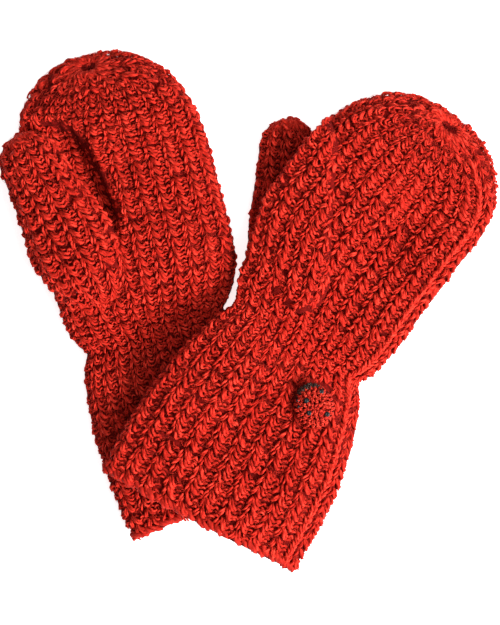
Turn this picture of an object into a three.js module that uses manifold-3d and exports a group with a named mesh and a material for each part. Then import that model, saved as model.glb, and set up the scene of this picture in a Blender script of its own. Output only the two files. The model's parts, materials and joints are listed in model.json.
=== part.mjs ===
// A pair of crocheted mittens lying one across the other: the left one palm up on the surface, the right one
// palm down with its cuff over the left cuff. Each has a flared cuff, a rounded hand gathered at the crown, a
// thumb sewn on at a round hole, a sewn side seam and a small ladybird button on the back of the cuff.
// Millimetres, +Z up. X runs across the pair and Y from the cuffs towards the finger ends.
import * as THREE from 'three';
import { mergeVertices } from 'three/addons/utils/BufferGeometryUtils.js';
import Module from 'manifold-3d';

const wasm = await Module();
wasm.setup();

// Fabric and shape shared by both mittens.
const wall = 4; // thickness of the crocheted fabric
const gap = 0.4; // clearance between separate pieces
const roundness = 2.4; // superellipse exponent of a flattened tube
const cuffHalfHeight = 9;
const handHalfHeight = 14;
const pressedFlat = 0.8; // how much of the underside the surface flattens
const flareLength = 95;
const shoulder = 100; // where the crown starts to close
const crownCurve = 2.6;
const crownTilt = 1.6; // leans the gathered end onto the upper face
const wristBend = 18; // half length of the curve between cuff and hand
const wristPinch = 2.5;
const pinchReach = 7;

// Thumb, measured from its hinge towards its tip.
const thumbClear = 20; // how far from the thumb the hand gets back to its own shape
const thumb = { back: 20, full: 20, cap: 20, height: 14, wall: 3.5 };
const edgeHalfHeight = 8.5; // half height of the right hand's edge where it lies over its thumb
const mouthRadius = 11;

// Sewn yarn.
const seamRadius = 1.3;
const seamAngle = 0.57; // from the little-finger edge towards the back of the hand
const seamEnd = 132;
const gatherRadius = 3.4;

// Button, in its own frame with +Y towards the ladybird's head.
const button = { across: 11.6, along: 13, dome: 3.6, back: 12.9, felt: 1.2, spot: 1.5, shank: 1.5 };
const buttonSpots = [[-3.3, 4.1], [6.5, 6.2], [-4, -3.2], [5.7, -7.2], [-8, 5.6], [-8.6, 1.6]];
const buttonSeat = 15;
const buttonBulge = 7.6; // how far the left cuff is raised by the button under it

const left = {
  name: 'left', palmUp: true, wrist: [-59.8, -11.7], handTurn: -14, cuffTurn: -23,
  wristHalf: 45.5, cuffHalf: 59, handHalf: 56.5, cuffLength: 111.5, palmLength: 45, pole: 165,
  wristShift: 2.5, handShift: 5.7, shiftLength: 35, crownShift: -3,
  thumbAt: [-26.3, 40], thumbTurn: -27, thumbTip: 96, thumbHalf: [26, 19], thumbFloor: 13, button: [24, -30],
};
const right = {
  name: 'right', palmUp: false, wrist: [28, -18.6], handTurn: 37, cuffTurn: 28.5,
  wristHalf: 46.5, cuffHalf: 66, handHalf: 59.5, cuffLength: 121, palmLength: 75, pole: 160.5,
  wristShift: 0, handShift: -9, shiftLength: 70, crownShift: 5,
  thumbAt: [-34, 31], thumbTurn: 3.5, thumbTip: 91, thumbHalf: [21, 17.5], thumbFloor: 0, button: [26, -27],
};

// Where the right cuff lies over the left one.
const overlap = {
  corner: [-19.7, -1.5], outward: [0.859, 0.512],
  hemCorner: [-75.5, -134.1], hemward: [0.357, -0.934],
};
const stackHeight = 2 * cuffHalfHeight - pressedFlat + 2 * gap;
const stackFall = [5, 55];
const hemFall = [5, 60];
const hemDroop = 0.6;

const rad = THREE.MathUtils.degToRad;
const smooth = (low, high, x) => THREE.MathUtils.smoothstep(x, low, high);
const dot = (a, b) => a[0] * b[0] + a[1] * b[1];
const minus = (a, b) => [a[0] - b[0], a[1] - b[1]];
const power = (c, e) => Math.sign(c) * Math.abs(c) ** e;
const closing = (u, e) => (u <= 0 ? 1 : Math.max(0, 1 - u ** e) ** (1 / e));

// The centre line in plan: straight along the cuff, an arc through the wrist, straight along the hand.
function spine(m, t) {
  const from = rad(m.cuffTurn);
  const curvature = (rad(m.handTurn) - from) / (2 * wristBend);
  const turnAt = (s) => from + curvature * (THREE.MathUtils.clamp(s, -wristBend, wristBend) + wristBend);
  const arc = (s) => [-Math.cos(turnAt(s)) / curvature, Math.sin(turnAt(s)) / curvature];
  const a = turnAt(t);
  const beyond = t - THREE.MathUtils.clamp(t, -wristBend, wristBend);
  const [x, y] = minus(arc(t), arc(0));
  return {
    at: [m.wrist[0] + x + beyond * Math.sin(a), m.wrist[1] + y + beyond * Math.cos(a)],
    across: [Math.cos(a), -Math.sin(a)],
    along: [Math.sin(a), Math.cos(a)],
  };
}

// A point given by its distance across and along a mitten, in plan.
function plan(m, x, t) {
  const { at, across } = spine(m, t);
  return [at[0] + x * across[0], at[1] + x * across[1]];
}

// Half width, half height, sideways shift and closing of the flattened tube at distance t from the wrist.
function section(m, t, pole) {
  const ease = 1 - (1 - Math.min(1, Math.abs(t) / (t < 0 ? flareLength : m.palmLength))) ** 2;
  const full = t < 0 ? m.cuffHalf : m.handHalf;
  const u = THREE.MathUtils.clamp((t - shoulder) / (pole - shoulder), 0, 1);
  const pinch = wristPinch * Math.exp(-((t / pinchReach) ** 2));
  const height = cuffHalfHeight + (handHalfHeight - cuffHalfHeight) * smooth(0, 60, t);
  const bendShift = m.wristShift * Math.exp(-((t / wristBend) ** 2));
  return {
    half: (m.wristHalf + (full - m.wristHalf) * ease - pinch) * closing(u, crownCurve),
    height: height * closing(u, crownCurve + 0.4),
    middle: height - pressedFlat,
    shift: bendShift + m.handShift * smooth(0, m.shiftLength, t) + m.crownShift * u,
    u,
  };
}

// Distance in plan from the strip that the thumb covers: negative inside it.
function fromThumb(m, p) {
  const hinge = plan(m, ...m.thumbAt);
  const a = rad(m.thumbTurn);
  const rel = minus(p, hinge);
  const s = dot(rel, [Math.sin(a), Math.cos(a)]);
  const nearest = THREE.MathUtils.clamp(s, 0, m.thumbTip - m.thumbHalf[0]);
  return Math.hypot(rel[0] - nearest * Math.sin(a), rel[1] - nearest * Math.cos(a)) - m.thumbHalf[0] - 2;
}

// How far the button under the left cuff raises what lies on it.
function bulge(p) {
  const d = Math.hypot(...minus(p, plan(left, ...left.button)));
  return buttonBulge * (1 - smooth(buttonSeat + 1, buttonSeat + 32, d));
}

// How far the surface below raises a mitten at a point in plan.
function raised(m, p) {
  if (m.palmUp) return bulge(p);
  const side = dot(minus(p, overlap.corner), overlap.outward);
  const hem = dot(minus(p, overlap.hemCorner), overlap.hemward);
  const over = (1 - smooth(...stackFall, side)) * (1 - hemDroop * smooth(...hemFall, hem));
  return stackHeight * over + bulge(p) * (1 - smooth(...stackFall, side));
}

// A point of a mitten's skin: angle round the section, distance along, and depth below the outer face.
function skin(m, angle, t, depth = 0, reach = 1) {
  const s = section(m, t, m.pole - depth);
  const c = Math.cos(angle);
  const n = Math.sin(angle);
  const x = s.shift + reach * Math.max(0, s.half - depth) * power(c, 2 / roundness);
  const up = reach * Math.max(0, s.height - depth) * power(n, 2 / roundness);
  const [px, py] = plan(m, x, t - crownTilt * up * s.u);
  const lift = raised(m, [px, py]);
  const beside = fromThumb(m, [px, py]);
  const z = Math.max(s.middle + up, depth);
  if (m.palmUp) {
    const under = m.thumbFloor - depth + 20 * smooth(0, thumbClear, beside);
    return new THREE.Vector3(px, py, (t > 0 ? Math.min(z, under) : z) + lift);
  }
  const over = (1 - smooth(0, thumbClear, beside)) * smooth(0, 22, t);
  const side = reach * power(n, 2 / roundness);
  const above = over * (thumb.height + gap + edgeHalfHeight * (1 + side)) - depth * side;
  return new THREE.Vector3(px, py, Math.max(z + lift, above));
}

// Turns a cylinder's vertices into any closed skin.
// The shape gets the angle, the share along, and the share out from the axis.
function wrap(shape, around, rows) {
  const g = new THREE.CylinderGeometry(1, 1, 1, around, rows);
  const p = g.getAttribute('position');
  for (let i = 0; i < p.count; i++) {
    const reach = Math.min(1, Math.hypot(p.getX(i), p.getZ(i)));
    const at = shape(Math.atan2(-p.getZ(i), p.getX(i)), p.getY(i) + 0.5, reach);
    p.setXYZ(i, at.x, at.y, at.z);
  }
  return g;
}

// A closed geometry as a solid, with coincident vertices merged and collapsed triangles dropped.
function solid(geometry, matrix = new THREE.Matrix4()) {
  const g = geometry.clone().applyMatrix4(matrix);
  for (const name of Object.keys(g.attributes)) if (name !== 'position') g.deleteAttribute(name);
  const merged = mergeVertices(g, 1e-3);
  const index = merged.index.array;
  const kept = [];
  for (let i = 0; i < index.length; i += 3) {
    const [a, b, c] = [index[i], index[i + 1], index[i + 2]];
    if (a !== b && b !== c && c !== a) kept.push(a, b, c);
  }
  const vertProperties = merged.attributes.position.array;
  const mesh = { numProp: 3, vertProperties, triVerts: new Uint32Array(kept) };
  const made = new wasm.Manifold(new wasm.Mesh(mesh));
  if (made.volume() >= 0) return made;
  for (let i = 0; i < kept.length; i += 3) [kept[i + 1], kept[i + 2]] = [kept[i + 2], kept[i + 1]];
  return new wasm.Manifold(new wasm.Mesh({ ...mesh, triVerts: new Uint32Array(kept) }));
}

const materials = {
  yarn: { color: 0xc8231a, roughness: 0.85, metalness: 0 },
  thread: { color: 0xb81c14, roughness: 0.8, metalness: 0 },
  felt: { color: 0x3a2c28, roughness: 0.9, metalness: 0 },
  bead: { color: 0x1c1c1e, roughness: 0.35, metalness: 0 },
};

// A named mesh from a solid.
function piece(name, made, material) {
  const mesh = made.getMesh();
  const g = new THREE.BufferGeometry();
  g.setAttribute('position', new THREE.BufferAttribute(mesh.vertProperties, 3));
  g.setIndex(new THREE.BufferAttribute(mesh.triVerts, 1));
  g.computeVertexNormals();
  const result = new THREE.Mesh(g, new THREE.MeshStandardMaterial(materials[material]));
  result.name = name;
  return result;
}

const around = 24;
const blend = THREE.MathUtils.lerp;
const tubeSkin = (m, from, to, depth, rows) =>
  solid(wrap((a, v, reach) => skin(m, a, blend(from, to, v), depth, reach), around, rows));

// A closed bar of round section along a curve.
function bar(curve, radius, steps, sides = 6) {
  const ring = new THREE.Shape().absarc(0, 0, radius, 0, 2 * Math.PI);
  const along = { extrudePath: curve, steps, curveSegments: sides, bevelEnabled: false };
  return solid(new THREE.ExtrudeGeometry(ring, along));
}

// The side seam as a curve on the skin between two distances along the mitten.
function seamCurve(m, from, to, count) {
  const angle = m.palmUp ? -seamAngle : seamAngle;
  const place = (i) => skin(m, angle, blend(from, to, i / (count - 1)));
  const points = Array.from({ length: count }, (_, i) => place(i));
  return new THREE.CatmullRomCurve3(points);
}

function ball(radius, at, squash = 1) {
  const m = new THREE.Matrix4().makeTranslation(...at).multiply(new THREE.Matrix4().makeScale(1, 1, squash));
  return solid(new THREE.SphereGeometry(radius, 9, 6), m);
}

function post(radius, at, low, high, sides = 24) {
  const g = new THREE.CylinderGeometry(radius, radius, high - low, sides).rotateX(Math.PI / 2);
  return solid(g, new THREE.Matrix4().makeTranslation(at[0], at[1], (low + high) / 2));
}

// A point of the thumb's skin. The floor is the height of its underside.
function thumbSkin(m, angle, v, depth, reach) {
  const from = -thumb.back + depth;
  const to = m.thumbTip - depth;
  const capped = m.thumbTip - thumb.cap;
  const s = blend(from, to, 0.5 - 0.5 * Math.cos(Math.PI * v));
  const ends = closing((s - capped) / (to - capped), 2) * closing((thumb.full - s) / (thumb.full - from), 2);
  const half = (blend(...m.thumbHalf, smooth(thumb.full, capped, s)) - depth) * ends;
  const up = (thumb.height / 2 - depth) * ends;
  const a = rad(m.thumbTurn);
  const [hx, hy] = plan(m, ...m.thumbAt);
  const x = reach * half * power(Math.cos(angle), 2 / roundness);
  const z = reach * up * power(Math.sin(angle), 2 / roundness);
  return new THREE.Vector3(
    hx + x * Math.cos(a) + s * Math.sin(a),
    hy - x * Math.sin(a) + s * Math.cos(a),
    m.thumbFloor + (m.palmUp ? gap : 0) + thumb.height / 2 + z,
  );
}

const thumbSolid = (m, depth) => solid(wrap((a, v, r) => thumbSkin(m, a, v, depth, r), 18, 10));

// The button's solids, built upright at the origin with the fabric side at z = 0.
function buttonSolids() {
  const domeProfile = (grow) => {
    const points = [new THREE.Vector2(0, 0)];
    for (let i = 0; i <= 5; i++) {
      const a = (i / 5) * (Math.PI / 2);
      const reach = 1 + grow / button.across;
      points.push(new THREE.Vector2(reach * Math.cos(a), (button.dome + 2 * grow) * Math.sin(a)));
    }
    return points;
  };
  const base = gap + button.felt + gap;
  const dome = (grow) => {
    const g = new THREE.LatheGeometry(domeProfile(grow), 24).rotateX(Math.PI / 2);
    g.applyMatrix4(new THREE.Matrix4().makeScale(button.across, button.along, 1));
    return solid(g, new THREE.Matrix4().makeTranslation(0, -1, base - grow));
  };
  const domeHeight = ([x, y]) => {
    const r = Math.hypot(x / button.across, (y + 1) / button.along);
    return base + button.dome * Math.sqrt(Math.max(0.1, 1 - r * r));
  };
  const made = {};
  made.back = post(button.back, [0, 0], gap, gap + button.felt, 24);
  let cover = dome(0);
  const spots = buttonSpots.map(([x, y], i) => {
    const radius = i < 4 ? button.spot : 0.7 * button.spot;
    const at = [x, y, domeHeight([x, y])];
    cover = cover.subtract(ball(radius + gap, at));
    return ball(radius, at);
  });
  made.cover = cover;
  const hood = solid(new THREE.SphereGeometry(1, 20, 10), new THREE.Matrix4().makeTranslation(0, 4.2, base)
    .multiply(new THREE.Matrix4().makeScale(9.6, 9.6, 3.4)));
  const above = post(40, [0, 0], base, 20);
  made.head = spots.reduce((head, spot) => head.subtract(spot), hood.intersect(above).subtract(dome(gap)));
  return { made, spots };
}

function addButton(group, m) {
  const { made, spots } = buttonSolids();
  const at = plan(m, ...m.button);
  const seat = buttonHeight(m);
  const place = new THREE.Matrix4().makeTranslation(at[0], at[1], seat);
  const turn = m.palmUp ? rad(-20) : rad(18);
  place.multiply(new THREE.Matrix4().makeRotationZ(turn));
  if (m.palmUp) place.multiply(new THREE.Matrix4().makeRotationX(Math.PI));
  const placed = (s) => s.transform(place.elements);
  group.add(piece(`${m.name}_button_back`, placed(made.back), 'felt'));
  group.add(piece(`${m.name}_button_cover`, placed(made.cover), 'thread'));
  group.add(piece(`${m.name}_button_head`, placed(made.head), 'felt'));
  spots.forEach((s, i) => group.add(piece(`${m.name}_button_spot_${i + 1}`, placed(s), 'bead')));
  const ways = m.palmUp ? [seat, seat + wall - 0.6] : [seat - wall + 0.6, seat];
  group.add(piece(`${m.name}_button_shank`, post(button.shank, at, ...ways, 16), 'thread'));
}

// Height of the flat seat that the button presses into the cuff.
function buttonHeight(m) {
  if (m.palmUp) return buttonBulge;
  const [x, t] = m.button;
  const s = section(m, t, m.pole);
  const up = s.height * Math.max(0, 1 - Math.abs(x / s.half) ** roundness) ** (1 / roundness);
  return s.middle + up + raised(m, plan(m, x, t)) - 1.2;
}

function addMitten(group, m) {
  const at = plan(m, ...m.button);
  const seat = buttonHeight(m);
  const shankHole = post(button.shank + gap, at, seat - wall - 2, seat + wall + 2, 16);

  const cuffSeam = seamCurve(m, -m.cuffLength + 3, -2, 8);
  const cuff = tubeSkin(m, -m.cuffLength, -gap / 2, 0, 9)
    .subtract(tubeSkin(m, -m.cuffLength - 3, 3, wall, 7))
    .subtract(bar(cuffSeam, seamRadius + gap, 14))
    .subtract(shankHole)
    .subtract(m.palmUp ? post(buttonSeat, at, seat - 10, seat) : post(buttonSeat, at, seat, seat + 10));
  group.add(piece(`${m.name}_cuff`, cuff, 'yarn'));
  group.add(piece(`${m.name}_cuff_seam`, bar(cuffSeam, seamRadius, 14), 'yarn'));
  addButton(group, m);

  const hinge = plan(m, ...m.thumbAt);
  const plane = m.palmUp ? m.thumbFloor + gap / 2 : thumb.height + gap / 2;
  const mouth = post(mouthRadius, hinge, plane - 5, plane + 5);
  const handSeam = seamCurve(m, 3, seamEnd, 9);
  const pole = skin(m, 0, m.pole);
  const hand = tubeSkin(m, gap / 2, m.pole, 0, 16)
    .subtract(tubeSkin(m, -3, m.pole - wall, wall, 12))
    .subtract(bar(handSeam, seamRadius + gap, 16))
    .subtract(mouth)
    .subtract(ball(gatherRadius + gap, pole.toArray(), 0.8));
  group.add(piece(`${m.name}_hand`, hand, 'yarn'));
  group.add(piece(`${m.name}_hand_seam`, bar(handSeam, seamRadius, 16), 'yarn'));
  group.add(piece(`${m.name}_crown_gather`, ball(gatherRadius, pole.toArray(), 0.8), 'yarn'));
  const ring = new THREE.TorusGeometry(mouthRadius - 1.6, 0.9, 6, 20);
  const ringHeight = plane + (m.palmUp ? -1 : 1) * (0.9 + gap);
  const joined = solid(ring, new THREE.Matrix4().makeTranslation(hinge[0], hinge[1], ringHeight));
  group.add(piece(`${m.name}_thumb_join`, joined, 'yarn'));

  const tip = thumbSkin(m, 0, 1, 0, 1);
  const shell = thumbSolid(m, 0).subtract(thumbSolid(m, thumb.wall)).subtract(mouth)
    .subtract(ball(gatherRadius - 0.8 + gap, tip.toArray(), 0.8));
  group.add(piece(`${m.name}_thumb`, shell, 'yarn'));
  group.add(piece(`${m.name}_thumb_gather`, ball(gatherRadius - 0.8, tip.toArray(), 0.8), 'yarn'));
}

const pair = new THREE.Group();
addMitten(pair, left);
addMitten(pair, right);

export default pair;
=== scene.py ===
"""A pair of hand-crocheted mittens with ladybird buttons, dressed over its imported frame.

The yarn is laid stitch by stitch. Each mitten's skin is laid out in ribs round the hand and
stitches along it, and a small set of strands is repeated in every cell of that layout.
"""
from __future__ import annotations

import json
import logging
import math
from dataclasses import dataclass, field
from enum import Enum
from typing import Callable, Iterable, Sequence

import bpy
import numpy as np
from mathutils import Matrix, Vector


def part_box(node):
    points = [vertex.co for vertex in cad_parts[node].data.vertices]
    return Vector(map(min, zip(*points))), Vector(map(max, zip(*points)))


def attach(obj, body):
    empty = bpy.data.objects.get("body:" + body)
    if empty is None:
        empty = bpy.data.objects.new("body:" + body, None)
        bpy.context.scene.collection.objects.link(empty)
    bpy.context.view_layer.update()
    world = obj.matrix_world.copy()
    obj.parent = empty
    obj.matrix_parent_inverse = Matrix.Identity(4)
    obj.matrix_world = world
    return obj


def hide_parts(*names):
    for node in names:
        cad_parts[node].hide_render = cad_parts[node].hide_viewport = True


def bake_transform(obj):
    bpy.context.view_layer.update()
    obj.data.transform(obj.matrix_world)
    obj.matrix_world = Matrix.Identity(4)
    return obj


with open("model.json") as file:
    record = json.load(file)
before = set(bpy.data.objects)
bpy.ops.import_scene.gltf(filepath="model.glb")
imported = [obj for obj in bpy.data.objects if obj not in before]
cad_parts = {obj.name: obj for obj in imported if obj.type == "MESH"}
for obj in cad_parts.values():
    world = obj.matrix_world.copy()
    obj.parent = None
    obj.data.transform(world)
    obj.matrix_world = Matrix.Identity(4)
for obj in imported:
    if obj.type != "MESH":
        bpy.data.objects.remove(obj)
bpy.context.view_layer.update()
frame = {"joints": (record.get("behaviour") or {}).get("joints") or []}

LOG = logging.getLogger("mittens")
MM = 0.001
Array = np.ndarray


class Side(Enum):
    """Which hand a mitten is for."""

    LEFT = "left"
    RIGHT = "right"


def smooth(low: float, high: float, x: Array) -> Array:
    """Ease from 0 at low to 1 at high.

    Args:
        low: Value where the result leaves 0.
        high: Value where the result reaches 1.
        x: Values to ease.

    Returns:
        The eased values.
    """
    t = np.clip((np.asarray(x, float) - low) / (high - low), 0, 1)
    return t * t * (3 - 2 * t)


def power(value: Array, exponent: float) -> Array:
    """Raise the size of each value to a power and keep its sign."""
    return np.sign(value) * np.abs(value) ** exponent


def closing(share: Array, exponent: float) -> Array:
    """Width of a rounded end, from 1 where the share is 0 to 0 where it is 1."""
    return np.maximum(0, 1 - np.clip(share, 0, 1) ** exponent) ** (1 / exponent)


def joint_place(name: str) -> tuple[Array, Array]:
    """Find where a joint of the frame is.

    Args:
        name: The joint's name.

    Returns:
        Its position in millimetres and its axis.
    """
    joint = next(j for j in frame["joints"] if j["name"] == name)
    return np.array(joint["pos_m"]) / MM, np.array(joint["axis"])


# ---- The lie of the fabric ----


@dataclass(frozen=True)
class Stack:
    """How the upper cuff is carried by the lower one, in millimetres."""

    corner: tuple[float, float] = (-19.7, -1.5)
    outward: tuple[float, float] = (0.859, 0.512)
    hem_corner: tuple[float, float] = (-75.5, -134.1)
    hemward: tuple[float, float] = (0.357, -0.934)
    height: float = 18.0
    fall: tuple[float, float] = (5.0, 55.0)
    hem_fall: tuple[float, float] = (5.0, 60.0)
    hem_droop: float = 0.6
    bulge: float = 7.6
    bulge_reach: tuple[float, float] = (16.0, 47.0)

    def lifted(self, points: Array, upper: bool, button: Array) -> Array:
        """Height of the surface under a mitten at places in plan.

        Args:
            points: Places in plan, with X and Y last.
            upper: Whether the mitten is the upper one.
            button: Plan place of the button under the lower cuff.

        Returns:
            The height at each place.
        """
        away = np.hypot(points[..., 0] - button[0], points[..., 1] - button[1])
        swell = self.bulge * (1 - smooth(*self.bulge_reach, away))
        if not upper:
            return swell
        side = (points - np.array(self.corner)) @ np.array(self.outward)
        hem = (points - np.array(self.hem_corner)) @ np.array(self.hemward)
        held = 1 - smooth(*self.fall, side)
        return held * (self.height * (1 - self.hem_droop * smooth(*self.hem_fall, hem)) + swell)


@dataclass(frozen=True)
class MittenShape:
    """The outer skin of one mitten, in millimetres."""

    side: Side
    palm_up: bool
    hand_turn: float
    cuff_turn: float
    wrist_half: float
    cuff_half: float
    hand_half: float
    cuff_length: float
    pole: float
    hand_shift: float
    crown_shift: float
    thumb_turn: float
    thumb_tip: float
    thumb_half: tuple[float, float]
    thumb_floor: float
    roundness: float = 2.4
    cuff_rise: float = 9.0
    hand_rise: float = 14.0
    pressed: float = 0.8
    flare_length: float = 95.0
    palm_length: float = 75.0
    wrist_shift: float = 0.0
    shift_length: float = 70.0
    shoulder: float = 100.0
    crown_curve: float = 2.6
    crown_tilt: float = 1.6
    wrist_bend: float = 18.0
    wrist_pinch: float = 2.5
    pinch_reach: float = 7.0
    thumb_clear: float = 20.0
    thumb_back: float = 20.0
    thumb_full: float = 20.0
    thumb_cap: float = 20.0
    thumb_height: float = 14.0
    edge_rise: float = 8.5
    root_fade: tuple[float, float] = (8.0, 36.0)
    root_proud: float = 1.5
    thumb_from_wrist: float = 40.0
    thumb_swell: float = 1.0
    dip: float = 0.0
    dip_at: tuple[float, float] = (22.0, 96.0)
    dip_reach: tuple[float, float] = (14.0, 36.0)
    gap: float = 0.4
    stack: Stack = field(default_factory=Stack)

    @property
    def name(self) -> str:
        """The mitten's side as the frame names it."""
        return self.side.value

    @property
    def wrist(self) -> Array:
        """Middle of the wrist in plan."""
        return joint_place(f"{self.name}_wrist_bend")[0][:2]

    @property
    def hinge(self) -> Array:
        """Middle of the thumb's hole in plan."""
        return joint_place(f"{self.name}_thumb_swing")[0][:2]

    def spine(self, t: Array) -> tuple[Array, Array, Array]:
        """Follow the centre line from the cuff through the wrist into the hand.

        Args:
            t: Distances from the wrist towards the finger ends.

        Returns:
            Plan places, and the directions across and along the mitten there.
        """
        t = np.asarray(t, float)
        start = math.radians(self.cuff_turn)
        bend = (math.radians(self.hand_turn) - start) / (2 * self.wrist_bend)
        inner = np.clip(t, -self.wrist_bend, self.wrist_bend)
        turn = start + bend * (inner + self.wrist_bend)
        middle = start + bend * self.wrist_bend
        along = np.stack([np.sin(turn), np.cos(turn)], -1)
        across = np.stack([np.cos(turn), -np.sin(turn)], -1)
        arc_x = (math.cos(middle) - np.cos(turn)) / bend
        arc_y = (np.sin(turn) - math.sin(middle)) / bend
        at = self.wrist + np.stack([arc_x, arc_y], -1) + (t - inner)[..., None] * along
        return at, across, along

    def beside_thumb(self, points: Array) -> Array:
        """Distance in plan from the strip that the thumb covers.

        Args:
            points: Places in plan, with X and Y last.

        Returns:
            The distances, negative inside the strip.
        """
        turn = math.radians(self.thumb_turn)
        axis = np.array([math.sin(turn), math.cos(turn)])
        rel = points - self.hinge
        near = np.clip(rel @ axis, 0, self.thumb_tip - self.thumb_half[0])
        off = rel - near[..., None] * axis
        return np.hypot(off[..., 0], off[..., 1]) - self.thumb_half[0] - 2

    def along_thumb(self, points: Array) -> Array:
        """Distance in plan from the thumb's hinge towards its tip."""
        turn = math.radians(self.thumb_turn)
        return (points - self.hinge) @ np.array([math.sin(turn), math.cos(turn)])

    def skin(self, angle: Array, t: Array, depth: float = 0.0) -> Array:
        """Places on the skin of the cuff and hand.

        Args:
            angle: Angle round the section, from the little-finger edge over the top.
            t: Distance from the wrist towards the finger ends.
            depth: Depth below the outer face.

        Returns:
            The places, with X, Y and Z last.
        """
        angle, t = np.broadcast_arrays(np.asarray(angle, float), np.asarray(t, float))
        reach = np.where(t < 0, self.flare_length, self.palm_length)
        ease = 1 - (1 - np.minimum(1, np.abs(t) / reach)) ** 2
        full = np.where(t < 0, self.cuff_half, self.hand_half)
        u = np.clip((t - self.shoulder) / (self.pole - depth - self.shoulder), 0, 1)
        pinch = self.wrist_pinch * np.exp(-((t / self.pinch_reach) ** 2))
        half = (self.wrist_half + (full - self.wrist_half) * ease - pinch) * closing(u, self.crown_curve)
        rise = self.cuff_rise + (self.hand_rise - self.cuff_rise) * smooth(0, 60, t)
        height = rise * closing(u, self.crown_curve + 0.4)
        shift = self.hand_shift * smooth(0, self.shift_length, t) + self.crown_shift * u
        shift = shift + self.wrist_shift * np.exp(-((t / self.wrist_bend) ** 2))
        side = power(np.sin(angle), 2 / self.roundness)
        x = shift + np.maximum(0, half - depth) * power(np.cos(angle), 2 / self.roundness)
        up = np.maximum(0, height - depth) * side
        at, across, _ = self.spine(t - self.crown_tilt * up * u)
        plan = at + x[..., None] * across
        lift = self.stack.lifted(plan, not self.palm_up, button_place(Side.LEFT)[:2])
        beside = self.beside_thumb(plan)
        dip_across = (x - shift - self.dip_at[0]) / self.dip_reach[0]
        dip_along = (t - self.dip_at[1]) / self.dip_reach[1]
        sunken = self.dip * np.exp(-(dip_across**2 + dip_along**2) / 2) * np.maximum(side, 0)
        z = np.maximum(rise - self.pressed + up - sunken, depth)
        if self.palm_up:
            filled = 1 - smooth(*self.root_fade, self.along_thumb(plan))
            limit = self.thumb_floor - depth + 20 * smooth(0, self.thumb_clear, beside)
            root_top = 2 * rise - self.pressed - self.root_proud - self.thumb_floor
            limit = limit + filled * np.maximum(0, root_top)
            z = np.where(t > 0, np.minimum(z, limit), z) + lift
        else:
            over = (1 - smooth(0, self.thumb_clear, beside)) * smooth(0, 22, t)
            raised = over * (self.thumb_height + self.gap + self.edge_rise * (1 + side)) - depth * side
            z = np.maximum(z + lift, raised)
        return np.concatenate([plan, z[..., None]], -1)

    def thumb_skin(self, angle: Array, s: Array, depth: float = 0.0) -> Array:
        """Places on the skin of the thumb.

        Args:
            angle: Angle round the section.
            s: Distance from the hinge towards the thumb's tip.
            depth: Depth below the outer face.

        Returns:
            The places, with X, Y and Z last.
        """
        angle, s = np.broadcast_arrays(np.asarray(angle, float), np.asarray(s, float))
        start, end = -self.thumb_back + depth, self.thumb_tip - depth
        capped = self.thumb_tip - self.thumb_cap
        ends = closing((s - capped) / (end - capped), 2)
        ends = ends * closing((self.thumb_full - s) / (self.thumb_full - start), 2)
        wide, narrow = self.thumb_half
        half = (wide + (narrow - wide) * smooth(self.thumb_full, capped, s) - depth) * ends
        x = half * power(np.cos(angle), 2 / self.roundness)
        z = (self.thumb_height / 2 - depth) * ends * power(np.sin(angle), 2 / self.roundness)
        crest = self.thumb_height / 2 * self.thumb_swell - depth
        z = np.where((z > 0) & (self.thumb_swell > 1), crest * ends * np.maximum(0, np.sin(angle)) ** 1.1, z)
        turn = math.radians(self.thumb_turn)
        base = self.thumb_floor + (self.gap if self.palm_up else 0) + self.thumb_height / 2
        if self.palm_up:
            slope = 2 * (self.hand_rise - self.cuff_rise) * (1 - smooth(0, 60, self.thumb_from_wrist + s))
            base = base - slope + self.root_proud * (1 - smooth(*self.root_fade, s))
        px = self.hinge[0] + x * math.cos(turn) + s * math.sin(turn)
        py = self.hinge[1] - x * math.sin(turn) + s * math.cos(turn)
        return np.stack([px, py, base + z], -1)


def button_place(side: Side) -> Array:
    """Place of a button's shank at the fabric, in millimetres."""
    return joint_place(f"{side.value}_button_turn")[0]


# ---- Ribs and stitches on a skin ----


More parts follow.
